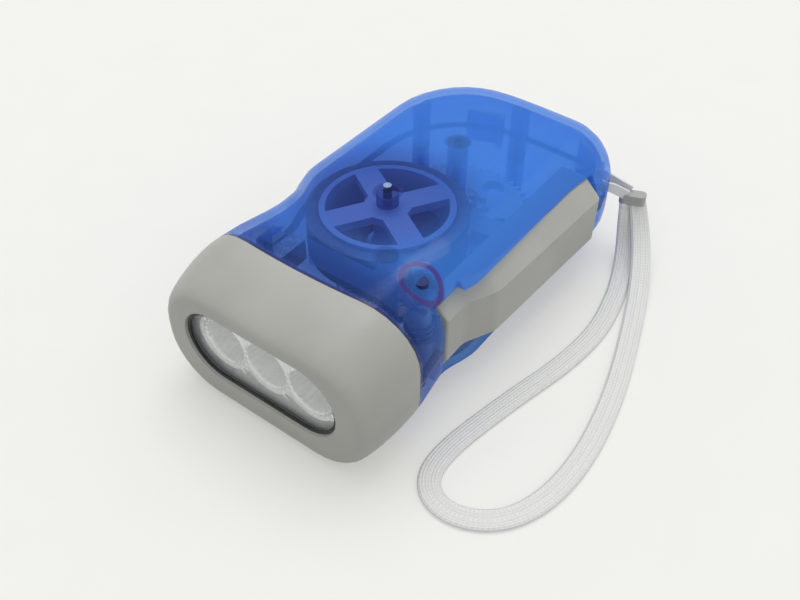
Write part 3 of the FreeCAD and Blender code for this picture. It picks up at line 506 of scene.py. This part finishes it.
def clear_shell(name, ringed):
    """See-through blue moulding: painted light of clear azure where it is empty, painted shade of slate over
    the gears and by the head.
    """
    material, tree, shader = new_material(name)
    x, y, z = parts_of(tree, object_coordinates(tree))
    # Painted light and shade: the mask is bright where the shell is empty and away from the head, and shaded
    # slate over the gears and by the head.
    away = plan_distance(tree, x, y, GEARS_AT)
    front = maths(tree, "MULTIPLY", step(tree, x, HEAD_SHADE_START, HEAD_SHADE_END), HEAD_SHADE_SHARE)
    clear = step(tree, away, GEAR_SHADE_INNER, GEAR_SHADE_OUTER)
    empty = maths(tree, "MULTIPLY", clear, maths(tree, "SUBTRACT", 1.0, front))
    cloud = noise(tree, 38.0, 2.0)
    veil = between(tree, empty, PAINTED_SHADE_SLATE, PAINTED_LIGHT_AZURE)
    # Random cloudy patches of the same painted slate shade.
    veil = between(tree, maths(tree, "MULTIPLY", cloud, CLOUD_SHARE), veil, PAINTED_SHADE_SLATE)
    cover = maths(tree, "MULTIPLY_ADD", empty, COVER_PAINTED_LIGHT_MORE, COVER_GEARS)
    off_split = maths(tree, "ABSOLUTE", maths(tree, "SUBTRACT", z, SPLIT_Z))
    seam = step(tree, off_split, SEAM_OUTER, SEAM_INNER)
    veil = between(tree, seam, veil, NAVY)
    cover = maths(tree, "MULTIPLY_ADD", seam, COVER_SEAM, cover)
    if ringed:
        rings = boss_rings(tree, x, y, z)
        veil = between(tree, rings, veil, PURPLE)
        cover = maths(tree, "MULTIPLY_ADD", rings, COVER_RING, cover)
        round_axle = step(tree, plan_distance(tree, x, y, FLYWHEEL_BOSS), SPOT_OUTER, AXLE_SPOT)
        spot = maths(tree, "MULTIPLY", round_axle, step(tree, z, BOSS_HIGH - SPOT_FADE, BOSS_HIGH))
        veil = between(tree, spot, veil, PALE)
        cover = maths(tree, "MULTIPLY_ADD", spot, COVER_SPOT, cover)
    level = maths(tree, "DIVIDE", y, SEAM_HALF)
    bowed = maths(tree, "MULTIPLY_ADD", maths(tree, "MULTIPLY", level, level), -SEAM_BOW, SEAM_X)
    rim = step(tree, maths(tree, "SUBTRACT", bowed, x), RIM_OUTER, RIM_INNER)
    veil = between(tree, rim, veil, NAVY)
    cover = maths(tree, "MULTIPLY_ADD", rim, COVER_RIM, cover)
    tree.links.new(veil, shader.inputs["Base Color"])
    spread(tree, noise(tree, 240.0, 2.0), 0.10, 0.17, shader.inputs["Roughness"])
    shader.inputs["IOR"].default_value = 1.49
    shader.inputs["Coat Weight"].default_value = 0.15
    shader.inputs["Coat Roughness"].default_value = 0.06
    bump(tree, cloud, shader, 0.00001)
    through = tree.nodes.new("ShaderNodeBsdfTransparent")
    tint = between(tree, empty, TINT_GEARS, TINT_EMPTY)
    edge_on = add(tree, "ShaderNodeLayerWeight", Blend=0.5).outputs["Facing"]
    tint = between(tree, maths(tree, "POWER", edge_on, EDGE_ON_POWER), tint, TINT_EDGE_ON)
    tree.links.new(tint, through.inputs["Color"])
    gloss = maths(tree, "MULTIPLY", edge_gloss(tree, SHELL_GLOSS_IOR), SHELL_GLOSS)
    mix = tree.nodes.new("ShaderNodeMixShader")
    tree.links.new(maths(tree, "MINIMUM", maths(tree, "ADD", cover, gloss), 1.0), mix.inputs["Fac"])
    tree.links.new(through.outputs["BSDF"], mix.inputs[1])
    tree.links.new(shader.outputs["BSDF"], mix.inputs[2])
    tree.links.new(mix.outputs["Shader"], tree.nodes["Material Output"].inputs["Surface"])
    return material


PLATING_DARK = (0.93, 0.93, 0.92)
PLATING_LIGHT = (0.98, 0.98, 0.97)


def plated_cups(name):
    """Bright plating whose cups are fluted round their own axes."""
    material, tree, shader = new_material(name)
    x, y, z = parts_of(tree, object_coordinates(tree))
    centre = maths(tree, "MULTIPLY", maths(tree, "ROUND", maths(tree, "DIVIDE", y, CUP_PITCH)), CUP_PITCH)
    turn = maths(tree, "ARCTAN2", maths(tree, "SUBTRACT", z, CUP_Z), maths(tree, "SUBTRACT", y, centre))
    flutes = maths(tree, "ABSOLUTE", maths(tree, "SINE", maths(tree, "MULTIPLY", turn, float(CUP_FACETS))))
    cloud = noise(tree, 300.0, 2.0)
    plating = ramp(tree, cloud, [(0.3, PLATING_DARK), (0.7, PLATING_LIGHT)])
    tree.links.new(plating, shader.inputs["Base Color"])
    shader.inputs["Metallic"].default_value = 0.4
    spread(tree, cloud, 0.05, 0.12, shader.inputs["Roughness"])
    bump(tree, flutes, shader, 0.0003, 0.35)
    return material


def clear_part(name, colour, rough=0.03, veil=0.08):
    """Clear moulding that lets light straight through, with a polished face."""
    material, tree, shader = new_material(name)
    cloud = noise(tree, 120.0, 2.0)
    tree.links.new(ramp(tree, cloud, [(0.3, colour), (0.7, tuple(min(1.0, c * 1.04) for c in colour))]),
                   shader.inputs["Base Color"])
    spread(tree, noise(tree, 400.0, 2.0), rough, rough + 0.03, shader.inputs["Roughness"])
    shader.inputs["IOR"].default_value = 1.5
    through = tree.nodes.new("ShaderNodeBsdfTransparent")
    through.inputs["Color"].default_value = (0.99, 0.995, 0.995, 1)
    mix = tree.nodes.new("ShaderNodeMixShader")
    tree.links.new(maths(tree, "MULTIPLY_ADD", edge_gloss(tree, 1.45), 0.6, veil), mix.inputs["Fac"])
    tree.links.new(through.outputs["BSDF"], mix.inputs[1])
    tree.links.new(shader.outputs["BSDF"], mix.inputs[2])
    tree.links.new(mix.outputs["Shader"], tree.nodes["Material Output"].inputs["Surface"])
    return material


DOT_PITCH = 0.0018
ROW_PITCH = 0.0019
RIB_PITCH = 0.00062
STRAP_COVER = 0.86


def woven_strap():
    """Pale woven band: ribs along its length and rows of small raised dots."""
    material, tree, shader = new_material("strap_weave")
    place = tree.nodes.new("ShaderNodeTexCoord").outputs["UV"]
    split = tree.nodes.new("ShaderNodeSeparateXYZ")
    tree.links.new(place, split.inputs["Vector"])

    def wave(source, pitch):
        return maths(tree, "SINE", maths(tree, "MULTIPLY", source, 2 * math.pi / pitch))

    along = wave(split.outputs["X"], DOT_PITCH)
    across = wave(split.outputs["Y"], ROW_PITCH)
    dots = step(tree, maths(tree, "ABSOLUTE", maths(tree, "MULTIPLY", along, across)), 0.45, 0.85)
    ribs = maths(tree, "MULTIPLY_ADD", wave(split.outputs["Y"], RIB_PITCH), 0.5, 0.5)
    fuzz = noise(tree, 1500.0, 2.0)
    base = ramp(tree, ribs, [(0.0, (0.79, 0.795, 0.785)), (1.0, (0.86, 0.865, 0.855))])
    base = between(tree, maths(tree, "MULTIPLY", dots, fuzz), base, (0.96, 0.965, 0.96))
    tree.links.new(base, shader.inputs["Base Color"])
    spread(tree, ribs, 0.45, 0.65, shader.inputs["Roughness"])
    bump(tree, maths(tree, "MULTIPLY_ADD", dots, 0.5, ribs), shader, 0.00008)
    shader.inputs["Sheen Weight"].default_value = 0.25
    through = tree.nodes.new("ShaderNodeBsdfTransparent")
    mix = add(tree, "ShaderNodeMixShader", Fac=STRAP_COVER)
    tree.links.new(through.outputs["BSDF"], mix.inputs[1])
    tree.links.new(shader.outputs["BSDF"], mix.inputs[2])
    tree.links.new(mix.outputs["Shader"], tree.nodes["Material Output"].inputs["Surface"])
    return material


GREY_DARK = (0.375, 0.380, 0.355)
GREY_LIGHT = (0.415, 0.420, 0.392)
shell_top = clear_shell("shell_top", True)
shell_low = clear_shell("shell_low", False)
grey = satin("grey_plastic", GREY_DARK, GREY_LIGHT)
black = satin("black_rubber", (0.010, 0.010, 0.011), (0.02, 0.02, 0.021), (0.4, 0.6))
white = satin("white_acetal", (0.62, 0.62, 0.58), (0.72, 0.72, 0.68))
board = satin("green_board", (0.02, 0.12, 0.05), (0.03, 0.18, 0.07))
green = satin("battery_sleeve", (0.03, 0.20, 0.08), (0.05, 0.26, 0.10), (0.2, 0.3))
steel = metal("bright_steel", (0.42, 0.43, 0.45), (0.60, 0.61, 0.63))
dark_iron = metal("dark_magnet", (0.05, 0.05, 0.055), (0.09, 0.09, 0.10), (0.4, 0.6))
copper = metal("copper_wire", (0.55, 0.22, 0.08), (0.75, 0.36, 0.16), (0.25, 0.4), (1, 1, 40))
dull_steel = metal("dull_steel", (0.14, 0.14, 0.16), (0.22, 0.22, 0.25), (0.5, 0.62))
chrome = plated_cups("plated_mirror")
blued_steel = metal("blued_steel", (0.03, 0.04, 0.13), (0.05, 0.06, 0.18), (0.5, 0.62))
pale_blue = satin("pale_blue_acetal", (0.36, 0.52, 0.72), (0.44, 0.60, 0.80))
lens_clear = clear_part("clear_window", (0.85, 0.88, 0.90), 0.02, 0.02)
led_clear = clear_part("clear_epoxy", (0.96, 0.96, 0.90), 0.04, 0.22)
strap_look = woven_strap()
strap.data.materials.append(strap_look)
cups.data.materials.append(chrome)

LOOKS = {
    "upper_shell": shell_top, "lower_shell": shell_low, "head_bezel": grey, "lens": lens_clear,
    "lens_seal": black, "reflector": chrome, "led_board": board, "led_1": led_clear, "led_2": led_clear,
    "led_3": led_clear, "lever": grey, "lever_spring": dull_steel, "lever_lock": grey, "clutch_pinion": white,
    "drive_gear": white, "flywheel_spider": pale_blue, "flywheel_ring": dull_steel, "magnet": dark_iron,
    "stator_plate_lower": steel, "stator_plate_upper": steel, "coil_bobbin": black, "coil_winding": copper,
    "battery_pack": green, "battery_tab_left": steel, "battery_tab_right": steel, "switch_body": steel,
    "switch_knob": grey, "case_screws": steel, "strap_loop": strap_look, "strap_crimp": grey,
    "lever_pivot_pin": blued_steel, "drive_axle": dull_steel, "flywheel_axle": dull_steel,
}
for name, look in LOOKS.items():
    for slot in NODES[name].material_slots:
        slot.material = look

# Floor, lights and world

floor_mesh = bpy.data.meshes.new("floor")
floor_mesh.from_pydata([(-3, -3, 0), (3, -3, 0), (3, 3, 0), (-3, 3, 0)], [], [(0, 1, 2, 3)])
floor = bpy.data.objects.new("floor", floor_mesh)
bpy.context.scene.collection.objects.link(floor)
PAPER_DARK = (0.495, 0.493, 0.480)
PAPER_LIGHT = (0.505, 0.503, 0.490)
BACKDROP_LIFT = 0.355


def paper_floor():
    """Matt paper, lifted for the camera and for reflections so that shadows on it stay pale."""
    material, tree, shader = new_material("paper")
    cloud = noise(tree, 60.0)
    tree.links.new(ramp(tree, cloud, [(0.3, PAPER_DARK), (0.7, PAPER_LIGHT)]), shader.inputs["Base Color"])
    spread(tree, cloud, 0.85, 0.95, shader.inputs["Roughness"])
    bump(tree, noise(tree, 2600.0, 2.0), shader, 0.000004)
    rays = tree.nodes.new("ShaderNodeLightPath")
    seen = maths(tree, "MAXIMUM", rays.outputs["Is Camera Ray"], rays.outputs["Is Glossy Ray"])
    shader.inputs["Emission Color"].default_value = (1.0, 0.998, 0.975, 1.0)
    tree.links.new(maths(tree, "MULTIPLY", seen, BACKDROP_LIFT), shader.inputs["Emission Strength"])
    return material


floor_mesh.materials.append(paper_floor())


def sun(name, direction, strength, size, colour=(1, 1, 1)):
    data = bpy.data.lights.new(name, "SUN")
    data.energy = strength
    data.angle = math.radians(size)
    data.color = colour
    lamp = bpy.data.objects.new(name, data)
    bpy.context.scene.collection.objects.link(lamp)
    lamp.rotation_euler = Vector(direction).to_track_quat("Z", "Y").to_euler()


sun("key", (-0.30, -0.20, 0.93), 1.02, 45)
sun("rim", (-0.6, 0.5, 0.55), 0.22, 60)

world = bpy.data.worlds.new("world")
world.use_nodes = True
bpy.context.scene.world = world
world.node_tree.nodes["Background"].inputs["Color"].default_value = (1.0, 1.0, 0.985, 1)
world.node_tree.nodes["Background"].inputs["Strength"].default_value = 0.72
bpy.context.scene.view_settings.view_transform = "Standard"
